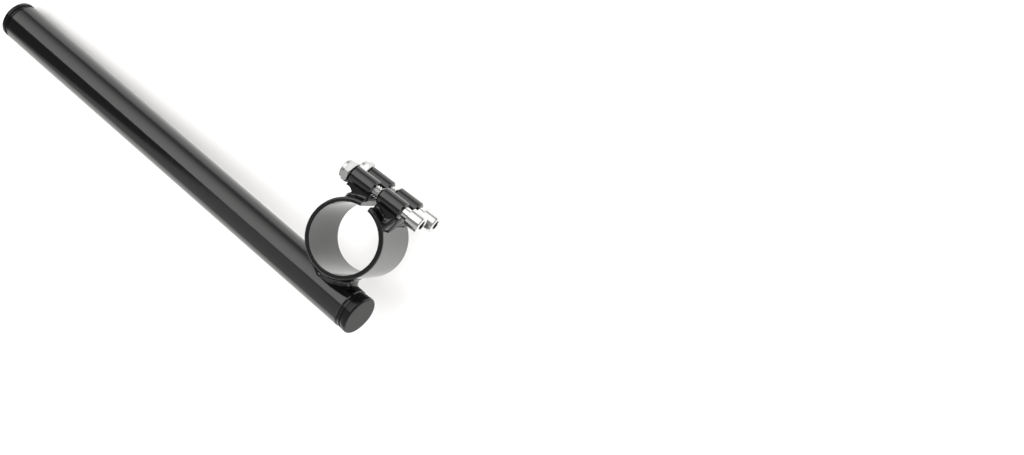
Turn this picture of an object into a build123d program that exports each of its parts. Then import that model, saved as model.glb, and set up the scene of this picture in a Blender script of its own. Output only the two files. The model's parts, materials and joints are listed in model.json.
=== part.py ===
from build123d import *
from math import asin, cos, degrees, radians, sin, sqrt, tan
import os

# Left-hand clip-on handlebar. A split ring clamps round a fork leg, and a straight bar is
# welded across the back of the ring. Two screws through welded barrels pinch the ring shut.
#
# Frame: origin in the middle of the ring's bore, +Z up the fork leg, +X towards the bar's
# outer end and -Y towards the pinch screws. All sizes are millimetres and degrees.

# Clamp ring
fork_d = 37.0
ring_wall = 2.5
ring_height = 41.0
ring_split = 4.6
ring_edge = {"outside": 1.1, "inside": 0.4}

# Handlebar tube, measured along its own axis from where it crosses the ring
tube_d = 22.22
tube_wall = 2.3
tube_inboard = 20.0
tube_outboard = 254.0
tube_edge = 0.4
tube_rise = 1.1
tube_droop = 10.7
cope_depth = 1.8
tube_weld_leg = 7.0

# Pinch barrels, set slightly towards the bar's outer end
barrel_d = 10.0
barrel_length = 14.6
barrel_bore_d = 6.75
barrel_edge = 0.7
barrel_gap = 4.0
barrel_pitch = 22.8
barrel_standoff = 1.6
barrel_shift = 1.0

# Saddles between the ring and the barrels
seat_depth = 2.0
saddle_inset = 1.8
lip_setback = 1.2
lip_thickness = 3.0
lip_undercut = {"nut": 6.2, "head": 4.2}
cove_rise = 2.3
cove_depth = 1.0
saddle_bead_r = 1.7

# Socket screws
screw_d = 6.35
screw_tip = 0.3
screw_tip_edge = 0.8
screw_standoff = 4.0
head_d = 9.53
head_length = 7.7
head_edge = 0.6
socket_flats = 4.76
socket_depth = 3.4

# Lock nuts, and the nylon ring in each one's crown
nut_flats = 11.11
nut_height = 5.6
hex_height = 3.6
hex_foot_d = 10.6
hex_chamfer = 30.0
crown_d = 10.4
crown_edge = 0.9
nut_turn = {"upper": 4.0, "lower": 46.0}
insert_d = 8.2
insert_height = 1.5
insert_depth = 0.3
thread_gap = 0.05

# Moulded end plugs
plug_d = 22.0
plug_flange = 3.0
plug_edge = 0.5
plug_face_edge = 1.2
plug_neck_d = 20.6
plug_neck = {"inboard": 3.7, "outboard": 2.3}
plug_collar_d = 21.5
plug_collar = 0.35
plug_collar_setback = 1.5
plug_body = 16.0
plug_nose = 1.2
plug_fit = 0.05
plug_fins = 4
plug_fin = 0.8
plug_fin_height = 0.9

# Worked out from the sizes above
bore_r = fork_d / 2
ring_r = bore_r + ring_wall
tube_r = tube_d / 2
tube_bore_r = tube_r - tube_wall
tube_y = ring_r + tube_r - cope_depth
barrel_r = barrel_d / 2
barrel_y = -(ring_r + barrel_standoff + barrel_r)
barrel_z = {"upper": barrel_pitch / 2, "lower": -barrel_pitch / 2}
direction = {"nut": 1, "head": -1}
barrel_start = {side: barrel_gap / 2 + direction[side] * barrel_shift for side in direction}
barrel_end = {side: barrel_start[side] + barrel_length for side in direction}
saddle_neck = {side: barrel_end[side] - lip_undercut[side] for side in direction}
saddle_top = ring_r + barrel_standoff + seat_depth
saddle_height = barrel_pitch + barrel_d - 2 * saddle_inset
nut_seat = barrel_end["nut"]
head_seat = -(barrel_end["head"] + screw_standoff)
screw_length = nut_seat + nut_height + screw_tip - head_seat

# The tube's own plane: its normal points outboard along the tube
tube_axis = Vector(cos(radians(tube_droop)), 0, -sin(radians(tube_droop)))
tube_plane = Plane(origin=(0, tube_y, tube_rise), x_dir=(0, 1, 0), z_dir=tube_axis)


def square_to_screw(x, level):
    """Plane across a pinch screw's axis at x, with its normal along +X."""
    return Plane(origin=(x, barrel_y, barrel_z[level]), x_dir=(0, 1, 0), z_dir=(1, 0, 0))


def along_axis(origin, outward):
    """Plane through an axis for profiles to revolve: local x is radial, local y runs outward."""
    radial = Vector(0, 1, 0)
    return Plane(origin=origin, x_dir=radial, z_dir=radial.cross(outward))


def finish(builder, node):
    """Name a finished piece and write it."""
    builder.part.label = node
    export_step(builder.part, f"parts/{node}.step")


os.makedirs("parts", exist_ok=True)

# Clamp ring: a short split tube with its rims rounded over
with BuildPart() as clamp_ring:
    with BuildSketch(Plane.XZ) as wall:
        with Locations((bore_r + ring_wall / 2, 0)):
            Rectangle(ring_wall, ring_height)
        fillet(wall.vertices().group_by(Axis.X)[-1], radius=ring_edge["outside"])
        fillet(wall.vertices().group_by(Axis.X)[0], radius=ring_edge["inside"])
    revolve(axis=Axis.Z)
    with BuildSketch(Plane.XY.offset(-ring_height / 2)):
        with Locations((0, -ring_r)):
            Rectangle(ring_split, 2 * ring_r)
    extrude(amount=ring_height, mode=Mode.SUBTRACT)
finish(clamp_ring, "clamp_ring")

# The ring's solid outline, which everything welded to it is cut to fit
with BuildPart() as ring_outline:
    Cylinder(ring_r, 2 * ring_height)

# Handlebar tube, coped to sit on the outside of the ring
with BuildPart() as handlebar_tube:
    with BuildSketch(tube_plane.offset(-tube_inboard)):
        Circle(tube_r)
        Circle(tube_bore_r, mode=Mode.SUBTRACT)
    extrude(amount=tube_inboard + tube_outboard)
    chamfer(handlebar_tube.edges().filter_by(GeomType.CIRCLE), length=tube_edge)
    add(ring_outline.part, mode=Mode.SUBTRACT)
finish(handlebar_tube, "handlebar_tube")

# Weld all round the cope: a flat bead that fills the groove between ring and tube
with BuildPart() as tube_weld:
    Cylinder(ring_r, ring_height)
    with BuildSketch(tube_plane.offset(-2 * ring_r)):
        Circle(tube_r)
    extrude(amount=4 * ring_r)
    seam = tube_weld.edges().filter_by(
        lambda edge: edge.geom_type not in (GeomType.CIRCLE, GeomType.LINE)
    )
    chamfer(seam, length=tube_weld_leg)
    add(ring_outline.part, mode=Mode.SUBTRACT)
    with BuildSketch(tube_plane.offset(-3 * ring_r)):
        Circle(tube_r)
    extrude(amount=6 * ring_r, mode=Mode.SUBTRACT)
finish(tube_weld, "tube_weld")


def make_barrel(side, level):
    """A bored and chamfered barrel on one side of the split."""
    start = direction[side] * barrel_start[side]
    with BuildPart() as barrel:
        with BuildSketch(square_to_screw(start, level)):
            Circle(barrel_r)
            Circle(barrel_bore_d / 2, mode=Mode.SUBTRACT)
        extrude(amount=direction[side] * barrel_length)
        outer_rims = barrel.edges().filter_by(GeomType.CIRCLE).sort_by(SortBy.RADIUS)[-2:]
        chamfer(outer_rims, length=barrel_edge)
    return barrel


def make_saddle(side):
    """The foot under two barrels: a lip hollowed underneath, seated on the ring."""
    neck = saddle_neck[side]
    lip_end = barrel_end[side] - lip_setback
    underside = saddle_top - lip_thickness
    outward = Plane(origin=(0, 0, 0), x_dir=(direction[side], 0, 0), z_dir=(0, 0, direction[side]))
    with BuildPart() as saddle:
        with BuildSketch(outward):
            with BuildLine():
                Polyline(
                    (neck, -underside + cove_rise),
                    (neck, 0),
                    (ring_split / 2, 0),
                    (ring_split / 2, -saddle_top),
                    (lip_end, -saddle_top),
                    (lip_end, -underside),
                )
                SagittaArc((lip_end, -underside), (neck, -underside + cove_rise), cove_depth)
            make_face()
        extrude(amount=saddle_height / 2, both=True)
        add(ring_outline.part, mode=Mode.SUBTRACT)
        for level in barrel_z:
            with BuildSketch(square_to_screw(0, level)):
                Circle(barrel_r)
            extrude(amount=direction[side] * 2 * barrel_end[side], mode=Mode.SUBTRACT)
    return saddle


def make_saddle_weld(side, saddle):
    """The bead round a saddle's foot: along both ends, and down the outer side."""
    split_angle = degrees(asin(ring_split / 2 / ring_r))
    neck_angle = degrees(asin(saddle_neck[side] / ring_r))
    foot_y = -sqrt(ring_r**2 - saddle_neck[side] ** 2)
    foot = Plane(origin=(direction[side] * saddle_neck[side], foot_y, 0))
    start = Plane.XZ.rotated((0, 0, direction[side] * split_angle - 90))
    with BuildPart() as weld:
        with BuildSketch(start):
            with GridLocations(0, saddle_height, 1, 2):
                with Locations((ring_r, 0)):
                    Circle(saddle_bead_r)
        revolve(axis=Axis.Z, revolution_arc=direction[side] * (neck_angle - split_angle))
        with BuildSketch(foot.offset(-saddle_height / 2)):
            Circle(saddle_bead_r)
        extrude(amount=saddle_height)
        with Locations(foot.offset(-saddle_height / 2), foot.offset(saddle_height / 2)):
            Sphere(saddle_bead_r)
        add(ring_outline.part, mode=Mode.SUBTRACT)
        add(saddle.part, mode=Mode.SUBTRACT)
    return weld


def make_screw(level):
    """A socket screw: head, plain shank and chamfered tip."""
    seat = square_to_screw(head_seat, level)
    with BuildPart() as screw:
        with BuildSketch(seat):
            Circle(screw_d / 2)
        extrude(amount=screw_length)
        chamfer(screw.edges().sort_by(Axis.X)[-1], length=screw_tip_edge)
        with BuildSketch(seat):
            Circle(head_d / 2)
        extrude(amount=-head_length)
        fillet(screw.edges().sort_by(Axis.X)[0], radius=head_edge)
        with BuildSketch(seat.offset(-head_length)):
            RegularPolygon(socket_flats / 2, 6, major_radius=False)
        extrude(amount=socket_depth, mode=Mode.SUBTRACT)
    return screw


def make_lock_nut(level):
    """A hexagon with turned corners, a round crown and a pocket for the nylon ring."""
    seat = square_to_screw(nut_seat, level)
    corner_r = nut_flats / sqrt(3)
    foot_r = hex_foot_d / 2
    corner_rise = (corner_r - foot_r) * tan(radians(hex_chamfer))
    with BuildPart() as nut:
        with BuildSketch(seat):
            RegularPolygon(nut_flats / 2, 6, major_radius=False, rotation=90 + nut_turn[level])
        extrude(amount=hex_height)
        with BuildSketch(along_axis(seat.origin, seat.z_dir)):
            Polygon(
                (0, 0),
                (foot_r, 0),
                (corner_r, corner_rise),
                (corner_r, hex_height - corner_rise),
                (foot_r, hex_height),
                (0, hex_height),
                align=None,
            )
        revolve(axis=Axis(seat.origin, seat.z_dir), mode=Mode.INTERSECT)
        with BuildSketch(seat.offset(hex_height)):
            Circle(crown_d / 2)
        extrude(amount=nut_height - hex_height)
        fillet(nut.edges().sort_by(Axis.X)[-1], radius=crown_edge)
        with BuildSketch(seat):
            Circle(screw_d / 2 + thread_gap)
        extrude(amount=nut_height, mode=Mode.SUBTRACT)
        with BuildSketch(seat.offset(nut_height - insert_depth - insert_height)):
            Circle(insert_d / 2)
        extrude(amount=insert_depth + insert_height, mode=Mode.SUBTRACT)
    return nut


def make_nylon_insert(level):
    """The ring in a lock nut's crown that grips the thread."""
    with BuildPart() as insert:
        with BuildSketch(square_to_screw(nut_seat + nut_height - insert_depth, level)):
            Circle(insert_d / 2)
            Circle(screw_d / 2 + thread_gap, mode=Mode.SUBTRACT)
        extrude(amount=-insert_height)
    return insert


def make_end_plug(end):
    """A plug turned about the tube's axis: finned body, waisted neck and rounded flange."""
    outward = tube_axis if end == "outboard" else -tube_axis
    reach = tube_outboard if end == "outboard" else tube_inboard
    origin = tube_plane.origin + outward * reach
    body_r = tube_bore_r - plug_fit
    core_r = body_r - plug_fin_height
    neck_r = plug_neck_d / 2
    flange_r = plug_d / 2
    neck = plug_neck[end]
    face = neck + plug_flange
    fin_step = plug_body / (plug_fins + 1)
    with BuildPart() as plug:
        with BuildSketch(along_axis(origin, outward)) as profile:
            Polygon(
                (0, -plug_body),
                (core_r - plug_nose, -plug_body),
                (core_r, -plug_body + plug_nose),
                (core_r, 0),
                (neck_r, 0),
                (neck_r, neck),
                (flange_r, neck),
                (flange_r, face),
                (0, face),
                align=None,
            )
            fillet(profile.vertices().group_by(Axis.X)[-1].sort_by(Axis.Y)[-1], radius=plug_face_edge)
            fillet(profile.vertices().group_by(Axis.X)[-1].sort_by(Axis.Y)[0], radius=plug_edge)
            for fin in range(1, plug_fins + 1):
                with Locations((0, -fin * fin_step)):
                    Rectangle(body_r, plug_fin, align=(Align.MIN, Align.CENTER))
            if neck > plug_collar_setback + plug_collar:
                with Locations((0, neck - plug_collar_setback)):
                    Rectangle(plug_collar_d / 2, plug_collar, align=(Align.MIN, Align.MAX))
        revolve(axis=Axis(origin, outward))
    return plug


# The pinch block: barrels, saddles and their welds on both sides of the split
for side in direction:
    saddle = make_saddle(side)
    finish(saddle, f"barrel_saddle_{side}")
    finish(make_saddle_weld(side, saddle), f"saddle_weld_{side}")
    for level in barrel_z:
        finish(make_barrel(side, level), f"pinch_barrel_{side}_{level}")

# The fasteners
for level in barrel_z:
    finish(make_screw(level), f"pinch_screw_{level}")
    finish(make_lock_nut(level), f"lock_nut_{level}")
    finish(make_nylon_insert(level), f"nylon_insert_{level}")

# The plugs in the tube's two ends
for end in plug_neck:
    finish(make_end_plug(end), f"end_plug_{end}")
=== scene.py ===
import bpy
import json
import math
from mathutils import Matrix, Vector, noise


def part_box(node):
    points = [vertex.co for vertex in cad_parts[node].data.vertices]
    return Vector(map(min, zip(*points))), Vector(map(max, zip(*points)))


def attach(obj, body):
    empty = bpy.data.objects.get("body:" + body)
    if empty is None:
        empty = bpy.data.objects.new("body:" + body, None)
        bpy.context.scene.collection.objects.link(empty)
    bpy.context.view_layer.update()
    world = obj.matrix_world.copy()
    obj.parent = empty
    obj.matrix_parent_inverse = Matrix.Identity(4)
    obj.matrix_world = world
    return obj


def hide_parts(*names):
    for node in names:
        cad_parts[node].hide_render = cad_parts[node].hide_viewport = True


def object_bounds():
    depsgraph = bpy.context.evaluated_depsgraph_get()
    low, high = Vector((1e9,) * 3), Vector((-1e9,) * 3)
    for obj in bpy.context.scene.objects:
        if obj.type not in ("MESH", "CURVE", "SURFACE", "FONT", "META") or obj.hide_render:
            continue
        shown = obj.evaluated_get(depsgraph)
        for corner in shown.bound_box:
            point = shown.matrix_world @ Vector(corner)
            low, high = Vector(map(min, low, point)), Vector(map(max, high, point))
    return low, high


# Looks of the left-hand clip-on handlebar: gloss black steel, plated fasteners, moulded plugs
# and uneven weld beads. Lengths are in metres, in the frame's own axes.

MM = 0.001

# The camera, at the photograph's viewing angle
PHOTO_WIDTH = 1024
FOCAL_PIXELS = 1594
SENSOR_WIDTH = 36
CAMERA_PLACE = (-0.2224, -0.1756, 0.7687)
CAMERA_AIM = (-0.0577, -0.0481, -0.0259)
CAMERA_UP = (0.58674, -0.80973, -0.00834)

# The floor, and the tent's light levels and edges. An edge is a share of the way along an axis,
# as the object sees it.
FLOOR_DROP = 0.5 * MM
FLOOR_SIZE = 6.0
WALL_LIGHT = 0.72
CEILING_LIGHT = 0.3
CEILING_START = 0.75
CEILING_FULL = 0.88
DARK_LIGHT = 0.14
DARK_END = 0.67
DARK_END_BLUR = 0.015
SOFTBOX_LIGHT = 2.3
SOFTBOX_FOOT_LIGHT = 0.4
SOFTBOX_FULL_HEIGHT = 0.8
SOFTBOX_EDGE = 0.03
SOFTBOX_BLUR = 0.06
NEAR_END_SHARE = 0.1
NEAR_END_START = -0.05
NEAR_END_STOP = 0.2
STRIP_LIGHT = 1.3
STRIP_FOOT = (0.18, 0.25)
STRIP_TOP = (0.5, 0.4)
STRIP_SIDE = (-0.35, -0.45)

# The lamp over the floor
POOL_PLACE = (0.0, 0.1, 1.1)
POOL_SIZE = 1.1
POOL_SPREAD = math.radians(90)
POOL_WATTS = 5.1

# The screws
AROUND = 96
THREAD_ROWS = 14
THREAD_PITCH = 1.27 * MM
THREAD_DEPTH = 0.62 * MM
THREAD_START = 4.0 * MM
SOCKET_FLATS = 4.76 * MM
SOCKET_DEPTH = 3.4 * MM
SOCKET_CONE = 0.8 * MM
SOCKET_MOUTH = 0.25 * MM
HEAD_LENGTH = 7.7 * MM
HEAD_EDGE = 0.7 * MM
HEAD_EDGE_STEPS = 6
SEAT_EDGE = 0.15 * MM
SHANK_R = 3.175 * MM
TIP_EDGE = 0.8 * MM
POINT_R = 0.01 * MM
SHARP_ANGLE = math.radians(35)

# The tube, as the part has it
TUBE_D = 22.22 * MM
TUBE_RISE = 1.1 * MM
TUBE_DROOP = math.radians(10.7)
COPE_DEPTH = 1.8 * MM

# Every weld bead
BEAD_STEPS = 20
ARCH_POWER = 0.7
RIDGE_WIDTH = 0.13
RIPPLE_PITCH = 1.9 * MM
RIPPLE_BOW = 1.4
LUMP_SIZE = 2.2 * MM
WELD_SINK = 0.15 * MM
TOE_WAVER = 0.10

# The weld round the cope
TUBE_SEED = 5
RING_TOE_SEED = 3
TUBE_TOE_SEED = 11
TUBE_WELD_STEPS = 420
TUBE_WELD_PACE = 1.6
TUBE_WELD_LEG = 7.0 * MM
TUBE_WELD_HOLLOW = 0.7 * MM
TUBE_WELD_RIDGE = 0.55 * MM
TUBE_RIDGE_SHARE = 0.1
TUBE_RIPPLE = 0.08 * MM
TUBE_LUMP = 0.2 * MM
DRIP_ANGLE = math.radians(78)
DRIP_SHARE = 0.84
DRIP_WIDTH = 0.16
DRIP_RADIUS = 1.7 * MM
DRIP_HEIGHT = 0.9 * MM

# The welds round the two feet
FOOT_SEED = {"nut": 21, "head": 34}
FOOT_DIRECTION = {"nut": 1, "head": -1}
FOOT_STEP = 0.25 * MM
FOOT_CORNER_STEPS = 12
FOOT_TAPER_STEPS = 5
FOOT_INNER = 2.3 * MM
FOOT_OUTER = 11.4 * MM
FOOT_HALF_HEIGHT = 14.6 * MM
FOOT_CORNER = 1.2 * MM
FOOT_WELD_LEG = 2.3 * MM
FOOT_WELD_HOLLOW = 0.2 * MM
FOOT_WELD_RIDGE = 0.4 * MM
FOOT_RIDGE_SHARE = 0.8
FOOT_END_SHARE = 0.45
FOOT_HEAVY_SHARE = {"nut": 0.4, "head": 1.4}
FOOT_HEAVY_START = 1 * MM
FOOT_HEAVY_SPAN = 10 * MM
FOOT_HEAVY_CROWN = 0.5
FOOT_LAP_RISE = {"nut": 0.0, "head": 4.4 * MM}
FOOT_LAP_REACH = {"nut": 0.0, "head": 3.0 * MM}
FOOT_CELL = 3.3 * MM
FOOT_CELL_CROWN = 1.2 * MM
FOOT_CELL_CLEFT = 0.35
FOOT_CELL_SWELL = 0.6
FOOT_RIPPLE = 0.04 * MM
FOOT_LUMP = 0.3 * MM
FOOT_LUMP_END = 0.3

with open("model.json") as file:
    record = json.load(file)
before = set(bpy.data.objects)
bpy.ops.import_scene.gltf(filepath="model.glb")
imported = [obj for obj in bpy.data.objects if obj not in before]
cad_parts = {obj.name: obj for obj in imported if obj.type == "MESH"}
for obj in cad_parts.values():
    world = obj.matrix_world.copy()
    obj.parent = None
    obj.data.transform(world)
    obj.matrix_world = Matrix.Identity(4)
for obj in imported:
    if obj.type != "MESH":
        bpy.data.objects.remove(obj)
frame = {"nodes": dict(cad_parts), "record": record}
cad_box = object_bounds()

# The main sizes, read from the frame
ring_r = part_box("clamp_ring")[1].x
tube_r = TUBE_D / 2
tube_axis = Vector((math.cos(TUBE_DROOP), 0, -math.sin(TUBE_DROOP)))
tube_centre = Vector((0, ring_r + tube_r - COPE_DEPTH, TUBE_RISE))


# Node helpers


def new_material(name):
    """A new material with its node tree and its shader."""
    material = bpy.data.materials.new(name)
    material.use_nodes = True
    shader = material.node_tree.nodes["Principled BSDF"]
    return material, material.node_tree, shader


def object_place(tree, turn=(0, 0, 0), stretch=(1, 1, 1)):
    """Object coordinates, turned and stretched."""
    where = tree.nodes.new("ShaderNodeTexCoord")
    mapping = tree.nodes.new("ShaderNodeMapping")
    mapping.inputs["Rotation"].default_value = turn
    mapping.inputs["Scale"].default_value = stretch
    tree.links.new(where.outputs["Object"], mapping.inputs["Vector"])
    return mapping.outputs["Vector"]


def noise_field(tree, place, size, detail=2.0, roughness=0.5):
    """A noise whose lumps are about the given size."""
    field = tree.nodes.new("ShaderNodeTexNoise")
    field.inputs["Scale"].default_value = 1 / size
    field.inputs["Detail"].default_value = detail
    field.inputs["Roughness"].default_value = roughness
    tree.links.new(place, field.inputs["Vector"])
    return field.outputs["Fac"]


def add_bump(tree, height, distance, under=None):
    """A bump of real height from a field, laid over another bump."""
    bump = tree.nodes.new("ShaderNodeBump")
    bump.inputs["Strength"].default_value = 1.0
    bump.inputs["Distance"].default_value = distance
    tree.links.new(height, bump.inputs["Height"])
    if under is not None:
        tree.links.new(under, bump.inputs["Normal"])
    return bump.outputs["Normal"]


def dust_nibs(tree, place, apart, radius):
    """Small round specks of about the given radius, so far apart."""
    cells = tree.nodes.new("ShaderNodeTexVoronoi")
    cells.inputs["Scale"].default_value = 1 / apart
    tree.links.new(place, cells.inputs["Vector"])
    return smooth_step(tree, cells.outputs["Distance"], radius / apart, 0.3 * radius / apart)


def spread(tree, field, low, high):
    """The field's middle range spread over low to high."""
    scale = tree.nodes.new("ShaderNodeMapRange")
    scale.inputs["From Min"].default_value = 0.3
    scale.inputs["From Max"].default_value = 0.7
    scale.inputs["To Min"].default_value = low
    scale.inputs["To Max"].default_value = high
    tree.links.new(field, scale.inputs["Value"])
    return scale.outputs["Result"]


def smooth_step(tree, value, low, high, start=0.0, stop=1.0):
    """Runs from start to stop as the value passes from low to high."""
    step = tree.nodes.new("ShaderNodeMapRange")
    step.interpolation_type = "SMOOTHSTEP"
    step.inputs["From Min"].default_value = low
    step.inputs["From Max"].default_value = high
    step.inputs["To Min"].default_value = start
    step.inputs["To Max"].default_value = stop
    tree.links.new(value, step.inputs["Value"])
    return step.outputs["Result"]


def blend_values(tree, share, first, second):
    """The first value where share is 0, the second where it is 1."""
    mix = tree.nodes.new("ShaderNodeMix")
    mix.data_type = "FLOAT"
    tree.links.new(share, mix.inputs["Factor"])
    for socket, value in ((mix.inputs["A"], first), (mix.inputs["B"], second)):
        if isinstance(value, float):
            socket.default_value = value
        else:
            tree.links.new(value, socket)
    return mix.outputs["Result"]


def multiply(tree, first, second):
    """The product of two values."""
    product = tree.nodes.new("ShaderNodeMath")
    product.operation = "MULTIPLY"
    tree.links.new(first, product.inputs[0])
    tree.links.new(second, product.inputs[1])
    return product.outputs[0]


# Materials


def gloss_black(name, turn=(0, 0, 0), stretch=(1, 1, 1)):
    """Deep gloss black coat: orange peel, streaks along the stretch and a few dust nibs."""
    material, tree, shader = new_material(name)
    place = object_place(tree)
    along = object_place(tree, turn, stretch)
    shader.inputs["Base Color"].default_value = (0.0022, 0.0022, 0.0023, 1)
    shader.inputs["IOR"].default_value = 1.6
    haze = noise_field(tree, place, 6 * MM, 3)
    tree.links.new(spread(tree, haze, 0.05, 0.11), shader.inputs["Roughness"])
    peel = noise_field(tree, place, 1.6 * MM, 2)
    normal = add_bump(tree, peel, 0.012 * MM)
    streaks = noise_field(tree, along, 0.7 * MM, 2)
    normal = add_bump(tree, streaks, 0.009 * MM, normal)
    normal = add_bump(tree, dust_nibs(tree, place, 11 * MM, 0.35 * MM), 0.08 * MM, normal)
    tree.links.new(normal, shader.inputs["Normal"])
    return material


def chrome(name, tint, low, high):
    """Plated steel of a grey tint, with a faint haze between two roughnesses."""
    material, tree, shader = new_material(name)
    place = object_place(tree)
    shader.inputs["Base Color"].default_value = (tint, tint, tint * 0.99, 1)
    shader.inputs["Metallic"].default_value = 1.0
    haze = noise_field(tree, place, 2 * MM, 3)
    tree.links.new(spread(tree, haze, low, high), shader.inputs["Roughness"])
    ripple = noise_field(tree, place, 1.5 * MM, 2)
    tree.links.new(add_bump(tree, ripple, 0.01 * MM), shader.inputs["Normal"])
    return material


def plug_plastic(name):
    """Black moulded plastic: glossy round its sides, grained and duller on its flat faces."""
    material, tree, shader = new_material(name)
    place = object_place(tree)
    shader.inputs["Base Color"].default_value = (0.004, 0.004, 0.004, 1)
    shader.inputs["IOR"].default_value = 1.45
    shader.inputs["Specular IOR Level"].default_value = 0.3
    geometry = tree.nodes.new("ShaderNodeNewGeometry")
    facing = tree.nodes.new("ShaderNodeVectorMath")
    facing.operation = "DOT_PRODUCT"
    facing.inputs[1].default_value = tube_axis
    tree.links.new(geometry.outputs["Normal"], facing.inputs[0])
    square = multiply(tree, facing.outputs["Value"], facing.outputs["Value"])
    tree.links.new(smooth_step(tree, square, 0.6, 0.97, 0.13, 0.42), shader.inputs["Roughness"])
    grain = noise_field(tree, place, 0.25 * MM, 3)
    normal = add_bump(tree, grain, 0.006 * MM)
    normal = add_bump(tree, dust_nibs(tree, place, 7 * MM, 0.35 * MM), 0.1 * MM, normal)
    tree.links.new(normal, shader.inputs["Normal"])
    return material


def nylon(name):
    """Off-white nylon."""
    material, tree, shader = new_material(name)
    place = object_place(tree)
    shader.inputs["Base Color"].default_value = (0.7, 0.71, 0.68, 1)
    shader.inputs["Roughness"].default_value = 0.45
    shader.inputs["Subsurface Weight"].default_value = 0.2
    shader.inputs["Subsurface Radius"].default_value = (0.5 * MM, 0.5 * MM, 0.5 * MM)
    grain = noise_field(tree, place, 0.4 * MM, 2)
    tree.links.new(add_bump(tree, grain, 0.01 * MM), shader.inputs["Normal"])
    return material


def dress(piece, material):
    """Give a piece one material."""
    piece.data.materials.clear()
    piece.data.materials.append(material)


# Meshes


def grid_mesh(name, rows, close_across=False, close_along=False):
    """A mesh from rows of points, with quads between neighbours."""
    count = len(rows[0])
    points = [tuple(point) for row in rows for point in row]
    faces = []
    last_row = len(rows) if close_along else len(rows) - 1
    last_point = count if close_across else count - 1
    for i in range(last_row):
        here = i * count
        there = (i + 1) % len(rows) * count
        for j in range(last_point):
            k = (j + 1) % count
            faces.append((here + j, here + k, there + k, there + j))
    mesh = bpy.data.meshes.new(name)
    mesh.from_pydata(points, [], faces)
    mesh.validate()
    mesh.shade_smooth()
    piece = bpy.data.objects.new(name, mesh)
    bpy.context.scene.collection.objects.link(piece)
    return piece


def hexagon_r(apothem, angle):
    """Radius of a hexagon at an angle."""
    sixth = math.pi / 3
    return apothem / math.cos((angle + sixth / 2) % sixth - sixth / 2)


def thread_r(x, angle, start):
    """Radius of a rolled 60 degree thread, fading in at its start."""
    turn = (x / THREAD_PITCH - angle / (2 * math.pi)) % 1
    crest = abs(2 * turn - 1)
    flat = min(max((crest - 0.12) / 0.8, 0), 1)
    fade = min(max((x - start) / THREAD_PITCH, 0), 1)
    return SHANK_R - THREAD_DEPTH * flat * fade


def make_screw(level):
    """A socket screw turned in rows from the socket's bottom to the threaded tip."""
    node = f"pinch_screw_{level}"
    low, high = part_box(node)
    centre = (low + high) / 2
    head_r = (high.z - low.z) / 2
    seat = low.x + HEAD_LENGTH
    around = [2 * math.pi * i / AROUND for i in range(AROUND)]
    rows = []

    def ring(x, radius):
        """A row at x, of one radius or of a radius for each angle."""
        radii = [radius(angle) if callable(radius) else radius for angle in around]
        row = []
        for angle, r in zip(around, radii):
            row.append((x, centre.y + r * math.cos(angle), centre.z + r * math.sin(angle)))
        rows.append(row)

    half_flats = SOCKET_FLATS / 2
    bottom = low.x + SOCKET_DEPTH
    ring(bottom + SOCKET_CONE, POINT_R)
    ring(bottom, half_flats * 0.97)
    ring(bottom, lambda angle: hexagon_r(half_flats, angle))
    ring(low.x + SOCKET_MOUTH, lambda angle: hexagon_r(half_flats, angle))
    ring(low.x, lambda angle: hexagon_r(half_flats, angle) + SOCKET_MOUTH)
    ring(low.x, head_r - HEAD_EDGE)
    for i in range(1, HEAD_EDGE_STEPS + 1):
        turn = math.pi / 2 * i / HEAD_EDGE_STEPS
        x = low.x + HEAD_EDGE * (1 - math.cos(turn))
        ring(x, head_r - HEAD_EDGE * (1 - math.sin(turn)))
    ring(seat - SEAT_EDGE, head_r)
    ring(seat, head_r - SEAT_EDGE)
    ring(seat, SHANK_R)
    start = -THREAD_START
    x = start
    ring(x, SHANK_R)
    while x < high.x - TIP_EDGE:
        ring(x, lambda angle, x=x: thread_r(x, angle, start))
        x += THREAD_PITCH / THREAD_ROWS
    ring(high.x - TIP_EDGE, SHANK_R - THREAD_DEPTH * 0.5)
    ring(high.x, SHANK_R - TIP_EDGE)
    ring(high.x, POINT_R)
    screw = grid_mesh(f"screw_{level}", rows, close_across=True)
    screw.data.set_sharp_from_angle(angle=SHARP_ANGLE)
    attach(screw, "root")
    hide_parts(node)
    return screw


# Making the weld beads


def waver(along, size, seed, lane):
    """A smooth value between -1 and 1 that turns about once in each size along a bead."""
    return noise.noise(Vector((along / size, seed, lane)))


def bead_section(ring_toe, wall_toe, root, outward, along, shape, seed, drip=0.0):
    """Points across a bead, from the toe on the ring to the toe on the wall.

    The shape is the hollow's depth, the ridge's height and share of the way across, and the
    heights of the ripples and lumps. A drip is an extra lump towards the wall.
    """
    hollow, ridge, ridge_share, ripple, lump_height = shape
    points = [root - outward * WELD_SINK]
    swell = 1 + 1.1 * waver(along, 3.0 * MM, seed, 0)
    warped = along + 1.3 * MM * waver(along, 3.5 * MM, seed, 9)
    ripple *= 1 + 1.2 * waver(along, 4.5 * MM, seed, 15)
    for i in range(BEAD_STEPS + 1):
        share = i / BEAD_STEPS
        arch = math.sin(math.pi * share) ** ARCH_POWER
        crest = math.exp(-(((share - ridge_share) / RIDGE_WIDTH) ** 2)) * ridge * max(swell, 0.1)
        crest += math.exp(-(((share - DRIP_SHARE) / DRIP_WIDTH) ** 2)) * drip
        scallop = (warped / RIPPLE_PITCH - RIPPLE_BOW * (share - 0.5) ** 2) % 1
        lump = lump_height * noise.noise(Vector((along / LUMP_SIZE, share * 2.3, seed)))
        rise = arch * (lump - hollow + ripple * (1 - (2 * scallop - 1) ** 2)) + crest
        points.append(ring_toe.lerp(wall_toe, share) + outward * rise)
    return points


def onto_ring(point):
    """The point moved squarely to just under the ring's outside."""
    scale = (ring_r - WELD_SINK) / math.hypot(point.x, point.y)
    return Vector((point.x * scale, point.y * scale, point.z))


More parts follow.
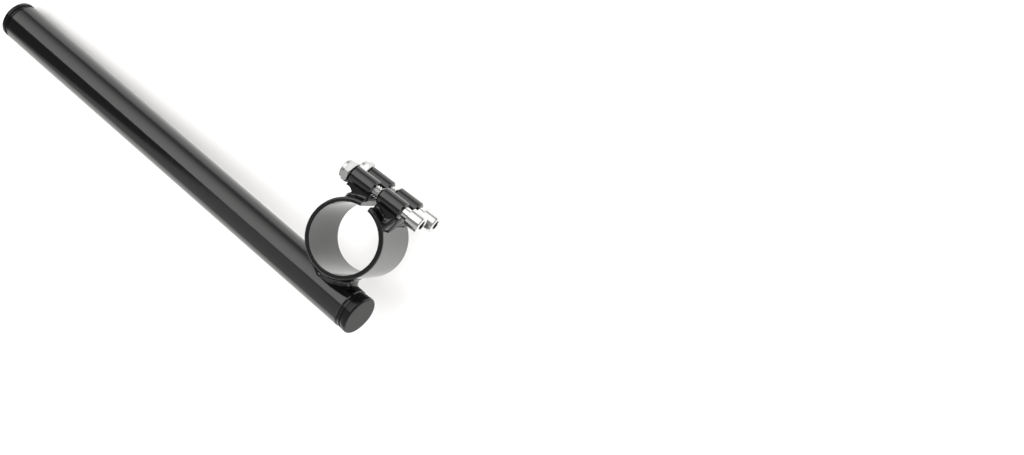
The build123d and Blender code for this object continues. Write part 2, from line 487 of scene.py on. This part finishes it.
def from_tube_axis(point):
    """The vector square from the tube's axis to a point."""
    offset = point - tube_centre
    return offset - tube_axis * offset.dot(tube_axis)


def on_seam(angle):
    """The point where ring and tube meet, at an angle round the seam as seen along Y."""
    low = 0.0
    high = ring_r * 0.9
    for _ in range(40):
        reach = (low + high) / 2
        x = reach * math.cos(angle)
        point = Vector((x, math.sqrt(ring_r**2 - x**2), TUBE_RISE + reach * math.sin(angle)))
        if from_tube_axis(point).length < tube_r:
            low = reach
        else:
            high = reach
    return point


def toe_reach(leg, along, seed):
    """The leg's length, wavering along the bead."""
    return leg * (1 + TOE_WAVER * waver(along, 4 * MM, seed, 7))


def make_tube_weld():
    """A rippled fillet weld all round the cope."""
    rows = []
    along = 0.0
    before = on_seam(0.0)
    for i in range(TUBE_WELD_STEPS):
        angle = 2 * math.pi * i / TUBE_WELD_STEPS
        seam = on_seam(angle)
        along += (seam - before).length * TUBE_WELD_PACE
        before = seam
        ring_normal = Vector((seam.x, seam.y, 0)).normalized()
        tube_normal = from_tube_axis(seam).normalized()
        run = ring_normal.cross(tube_normal).normalized()
        on_ring = run.cross(ring_normal)
        on_ring *= math.copysign(1, on_ring.dot(tube_normal))
        on_tube = run.cross(tube_normal)
        on_tube *= math.copysign(1, on_tube.dot(ring_normal))
        ring_toe = onto_ring(seam + on_ring * toe_reach(TUBE_WELD_LEG, along, RING_TOE_SEED))
        tube_toe = seam + on_tube * toe_reach(TUBE_WELD_LEG, along, TUBE_TOE_SEED)
        offset = from_tube_axis(tube_toe)
        tube_toe += offset.normalized() * (tube_r - WELD_SINK) - offset
        outward = (ring_normal + tube_normal).normalized()
        shape = (TUBE_WELD_HOLLOW, TUBE_WELD_RIDGE, TUBE_RIDGE_SHARE, TUBE_RIPPLE, TUBE_LUMP)
        from_drip = (angle - DRIP_ANGLE) * tube_r
        drip = DRIP_HEIGHT * math.exp(-((from_drip / DRIP_RADIUS) ** 2))
        rows.append(bead_section(ring_toe, tube_toe, seam, outward, along, shape, TUBE_SEED, drip))
    return grid_mesh("tube_bead", rows, close_across=True, close_along=True)


def foot_path():
    """Steps round a foot, unrolled: the place along the ring, the height, the way outward."""
    inner = ring_r * math.asin(FOOT_INNER / ring_r)
    outer = ring_r * math.asin(FOOT_OUTER / ring_r)
    top = FOOT_HALF_HEIGHT
    path = []
    flat = int((outer - FOOT_CORNER - inner) / FOOT_STEP)
    for i in range(flat):
        path.append((inner + i * FOOT_STEP, top, 0.0, 1.0))
    for i in range(FOOT_CORNER_STEPS + 1):
        turn = math.pi / 2 * (1 - i / FOOT_CORNER_STEPS)
        across = math.cos(turn)
        up = math.sin(turn)
        path.append((outer - FOOT_CORNER * (1 - across), top - FOOT_CORNER * (1 - up), across, up))
    side = int((top - FOOT_CORNER) / FOOT_STEP)
    for i in range(1, side + 1):
        path.append((outer, (top - FOOT_CORNER) * (1 - i / side), 1.0, 0.0))
    mirrored = [(place, -height, across, -up) for place, height, across, up in path[-2::-1]]
    return path + mirrored


def cell_profile(along, seed):
    """The height of a chain of round globules, at a place along it."""
    warped = along + 1.2 * MM * waver(along, 4 * MM, seed, 21)
    offset = 2 * (warped / FOOT_CELL % 1) - 1
    uneven = 1 + 0.35 * waver(along, 5 * MM, seed, 33)
    return math.sqrt(max(1 - offset**2, FOOT_CELL_CLEFT)) * uneven


def make_foot_weld(side):
    """A lumpy bead round a foot, tapered at the split; on the head side it laps over the lip."""
    direction = FOOT_DIRECTION[side]
    seed = FOOT_SEED[side]
    rows = []
    path = foot_path()
    along = 0.0
    for i, (place, height, across, up) in enumerate(path):
        if i:
            along += math.dist(path[i][:2], path[i - 1][:2])
        angle = place / ring_r
        normal = Vector((direction * math.sin(angle), -math.cos(angle), 0))
        tangent = Vector((direction * math.cos(angle), math.sin(angle), 0))
        seam = normal * ring_r + Vector((0, 0, height))
        away = tangent * across + Vector((0, 0, up))
        rise = Vector((0, -1, 0))
        near_end = min(i, len(path) - 1 - i)
        taper = math.sqrt(min((near_end + 0.3) / FOOT_TAPER_STEPS, 1))
        heavy = min(max((height - FOOT_HEAVY_START) / FOOT_HEAVY_SPAN, 0), 1)
        heavy *= FOOT_HEAVY_SHARE[side]
        more = 1 + FOOT_END_SHARE * abs(up) + heavy * across
        globule = 1 + (cell_profile(along, seed) - 1) * across**2
        swell = (1 - FOOT_CELL_SWELL + FOOT_CELL_SWELL * globule) * taper
        ring_toe = onto_ring(seam + away * toe_reach(FOOT_WELD_LEG, along, seed) * swell * more)
        climb = toe_reach(FOOT_WELD_LEG, along, seed + 4) * swell + FOOT_LAP_RISE[side] * across**2
        wall_toe = seam + rise * climb - away * WELD_SINK
        wall_toe.x += direction * FOOT_LAP_REACH[side] * across**2
        outward = (rise + away).normalized()
        crown = FOOT_CELL_CROWN * globule * (1 + FOOT_HEAVY_CROWN * heavy) * across**2
        hollow = FOOT_WELD_HOLLOW * (1 - across**2) - crown
        lump = FOOT_LUMP * taper * (FOOT_LUMP_END + across**2)
        ridge = FOOT_WELD_RIDGE * taper * abs(up)
        shape = (hollow * taper, ridge, FOOT_RIDGE_SHARE, FOOT_RIPPLE, lump)
        rows.append(bead_section(ring_toe, wall_toe, seam, outward, along, shape, seed))
    return grid_mesh(f"foot_bead_{side}", rows, close_across=True)


def place_weld(piece, node, material):
    """A bead takes its solid's place."""
    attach(piece, "root")
    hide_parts(node)
    dress(piece, material)


# Making the studio


def make_floor():
    """A plain pale floor just under the lowest point."""
    low = cad_box[0].z - FLOOR_DROP
    half = FLOOR_SIZE / 2
    rows = [[(-half, -half, low), (half, -half, low)], [(-half, half, low), (half, half, low)]]
    floor = grid_mesh("floor", rows)
    material, _, shader = new_material("floor")
    shader.inputs["Base Color"].default_value = (0.9, 0.897, 0.89, 1)
    shader.inputs["Roughness"].default_value = 0.9
    shader.inputs["Specular IOR Level"].default_value = 0.1
    dress(floor, material)


def make_pool():
    """A lamp straight above that lights the floor round the object and throws its soft shadow."""
    lamp = bpy.data.lights.new("pool", "AREA")
    lamp.shape = "DISK"
    lamp.size = POOL_SIZE
    lamp.spread = POOL_SPREAD
    lamp.energy = POOL_WATTS
    pool = bpy.data.objects.new("pool", lamp)
    pool.location = POOL_PLACE
    pool.visible_glossy = False
    bpy.context.scene.collection.objects.link(pool)


def make_world():
    """A light tent, painted by direction.

    A broad softbox stands over the -Y side, dimmed towards -X, and a pale wall over the +Y side,
    with a dark end towards +X. A low strip at -X lights the fasteners.
    """
    world = bpy.data.worlds.new("studio")
    bpy.context.scene.world = world
    world.use_nodes = True
    tree = world.node_tree
    background = tree.nodes["Background"]
    direction = tree.nodes.new("ShaderNodeTexCoord")
    split = tree.nodes.new("ShaderNodeSeparateXYZ")
    tree.links.new(direction.outputs["Generated"], split.inputs["Vector"])
    x, y, z = split.outputs
    softbox = smooth_step(tree, z, 0.0, SOFTBOX_FULL_HEIGHT, SOFTBOX_FOOT_LIGHT, SOFTBOX_LIGHT)
    dark_end = smooth_step(tree, x, DARK_END - DARK_END_BLUR, DARK_END + DARK_END_BLUR)
    wall = smooth_step(tree, z, CEILING_START, CEILING_FULL, WALL_LIGHT, CEILING_LIGHT)
    wall = blend_values(tree, dark_end, wall, DARK_LIGHT)
    near_end = smooth_step(tree, x, NEAR_END_START, NEAR_END_STOP, NEAR_END_SHARE, 1.0)
    softbox = multiply(tree, softbox, near_end)
    over_front = smooth_step(tree, y, SOFTBOX_EDGE, SOFTBOX_EDGE - SOFTBOX_BLUR)
    room = blend_values(tree, over_front, wall, softbox)
    strip = multiply(tree, smooth_step(tree, z, *STRIP_FOOT), smooth_step(tree, z, *STRIP_TOP))
    strip = multiply(tree, strip, smooth_step(tree, x, *STRIP_SIDE))
    room = blend_values(tree, strip, room, STRIP_LIGHT)
    tree.links.new(room, background.inputs["Strength"])
    background.inputs["Color"].default_value = (1, 0.995, 0.985, 1)


def make_camera():
    """The photograph's camera: place, aim and roll."""
    place = Vector(CAMERA_PLACE)
    forward = (Vector(CAMERA_AIM) - place).normalized()
    right = forward.cross(Vector(CAMERA_UP)).normalized()
    up = right.cross(forward)
    data = bpy.data.cameras.new("camera")
    data.sensor_width = SENSOR_WIDTH
    data.lens = FOCAL_PIXELS / PHOTO_WIDTH * SENSOR_WIDTH
    data.clip_start = 0.01
    data.clip_end = 20.0
    camera = bpy.data.objects.new("camera", data)
    turn = Matrix((right, up, -forward)).transposed().to_4x4()
    camera.matrix_world = Matrix.Translation(place) @ turn
    bpy.context.scene.collection.objects.link(camera)
    bpy.context.scene.camera = camera


# Dressing the object and placing it in the studio
black = gloss_black("gloss_black")
black_tube = gloss_black("gloss_black_tube", (0, -TUBE_DROOP, 0), (0.02, 1, 1))
bright = chrome("bright_plated_steel", 0.64, 0.05, 0.14)
plated = chrome("plated_steel", 0.49, 0.2, 0.28)
plug = plug_plastic("plug_plastic")
insert = nylon("nylon")
looks = {"black_steel": black, "chromed_steel": plated, "plug_plastic": plug, "nylon": insert}
slots = {part["node"]: part["material_slot"] for part in frame["record"]["subparts"]}
for name, node in frame["nodes"].items():
    dress(node, black_tube if name == "handlebar_tube" else looks[slots[name]])

for level in ("upper", "lower"):
    dress(make_screw(level), bright)

place_weld(make_tube_weld(), "tube_weld", black)
place_weld(make_foot_weld("nut"), "saddle_weld_nut", black)
place_weld(make_foot_weld("head"), "saddle_weld_head", black)

make_floor()
make_pool()
make_world()
make_camera()
bpy.context.scene.view_settings.view_transform = "Standard"
